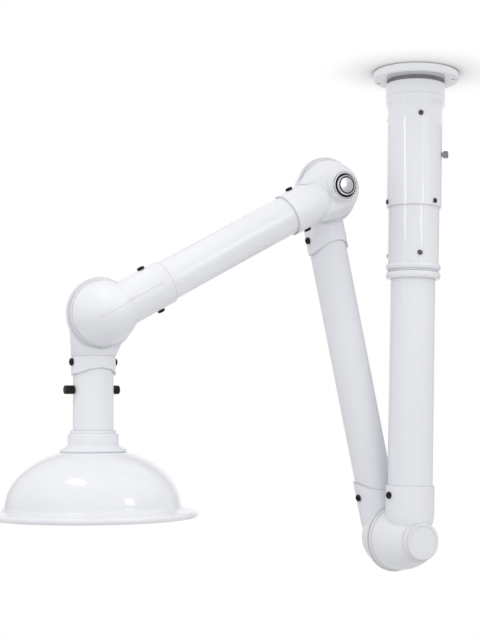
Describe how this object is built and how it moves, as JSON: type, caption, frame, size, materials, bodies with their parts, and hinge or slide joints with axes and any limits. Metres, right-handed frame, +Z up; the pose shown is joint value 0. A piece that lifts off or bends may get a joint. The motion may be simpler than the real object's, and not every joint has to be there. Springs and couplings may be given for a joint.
{
  "type": "ceiling-mounted fume extraction arm",
  "caption": "White ceiling-mounted extraction arm: telescopic ceiling column with swivel, jointed tubes with friction elbows, and a domed hood with a damper in its neck.",
  "frame": {"origin": "centre of the ceiling flange's top face, on the column's axis", "axes": "+Z up along the column, -X the way the arm reaches at rest, +Y along the elbow hinges, with -Y the side the picture shows"},
  "size_m": [0.9072, 0.385, 1.0012],
  "materials": {
    "white_plastic": "gloss",
    "white_paint": "gloss",
    "black_screw": "satin",
    "black_plastic": "satin",
    "steel": "satin",
    "chrome": "polished",
    "rubber": "matte"
  },
  "bodies": {
    "ceiling_mount": {"ceiling_flange": "white_paint", "flange_gasket": "rubber", "outer_sleeve": "white_paint", "sleeve_top_screw_1": "steel", "sleeve_top_screw_2": "steel", "sleeve_top_screw_3": "steel", "sleeve_clamp_screw_1": "steel", "sleeve_clamp_screw_2": "steel", "sleeve_clamp_screw_3": "steel", "side_bolt": "steel", "inner_sleeve": "white_paint", "inner_sleeve_screw_1": "steel", "inner_sleeve_screw_2": "steel", "inner_sleeve_screw_3": "steel", "swivel_bearing": "white_plastic"},
    "column": {"swivel_collar": "white_paint", "swivel_retainer": "steel", "column_tube": "white_paint", "lower_elbow_front": "white_plastic", "lower_elbow_front_screw_1": "black_screw", "lower_elbow_front_screw_2": "black_screw", "lower_elbow_seal_ring": "rubber", "lower_elbow_disc_spring": "steel", "lower_elbow_pivot_bolt": "steel", "lower_elbow_pivot_nut": "steel", "lower_elbow_cap": "white_plastic"},
    "middle_arm": {"lower_elbow_rear": "white_plastic", "lower_elbow_rear_screw_1": "black_screw", "lower_elbow_rear_screw_2": "black_screw", "upper_elbow_rear": "white_plastic", "upper_elbow_rear_screw_1": "black_screw", "upper_elbow_rear_screw_2": "black_screw", "middle_tube": "white_paint"},
    "upper_arm": {"upper_elbow_front": "white_plastic", "upper_elbow_front_screw_1": "black_screw", "upper_elbow_front_screw_2": "black_screw", "upper_elbow_seal_ring": "rubber", "upper_elbow_disc_spring": "steel", "upper_elbow_pivot_bolt": "steel", "adjuster_bezel": "chrome", "hood_elbow_front": "white_plastic", "hood_elbow_front_screw_1": "black_screw", "hood_elbow_front_screw_2": "black_screw", "upper_tube": "white_paint"},
    "friction_adjuster": {"adjuster_knob": "chrome"},
    "hood": {"hood_elbow_rear": "white_plastic", "hood_elbow_rear_screw_1": "black_screw", "hood_elbow_rear_screw_2": "black_screw", "hood_elbow_seal_ring": "rubber", "hood_elbow_disc_spring": "steel", "hood_elbow_pivot_bolt": "steel", "hood_elbow_pivot_nut": "steel", "hood_elbow_cap": "white_plastic", "hood_tube": "white_paint", "hood_collar": "white_plastic", "hood_dome": "white_plastic"},
    "damper": {"damper_disc": "steel", "damper_shaft": "steel", "damper_handle": "black_plastic", "damper_end_knob": "black_plastic"}
  },
  "joints": [
    {"name": "column_swivel", "type": "hinge", "parent": "ceiling_mount", "child": "column", "pos_m": [0, 0, -0.4], "axis": [0, 0, 1], "continuous": true},
    {"name": "lower_elbow", "type": "hinge", "parent": "column", "child": "middle_arm", "pos_m": [0, 0.049, -0.9347], "axis": [0, -1, 0], "range_deg": [-3, 130]},
    {"name": "upper_elbow", "type": "hinge", "parent": "middle_arm", "child": "upper_arm", "pos_m": [-0.17204, 0.049, -0.24978], "axis": [0, -1, 0], "range_deg": [-100, 25]},
    {"name": "hood_elbow", "type": "hinge", "parent": "upper_arm", "child": "hood", "pos_m": [-0.64143, 0.049, -0.52297], "axis": [0, 1, 0], "range_deg": [-75, 100]},
    {"name": "friction_adjuster", "type": "hinge", "parent": "upper_arm", "child": "friction_adjuster", "pos_m": [-0.17204, -0.011, -0.24978], "axis": [0, -1, 0], "range_deg": [-180, 180]},
    {"name": "damper", "type": "hinge", "parent": "hood", "child": "damper", "pos_m": [-0.63685, 0.091, -0.66089], "axis": [-0.9995, 0, -0.0332], "range_deg": [0, 90]}
  ]
}
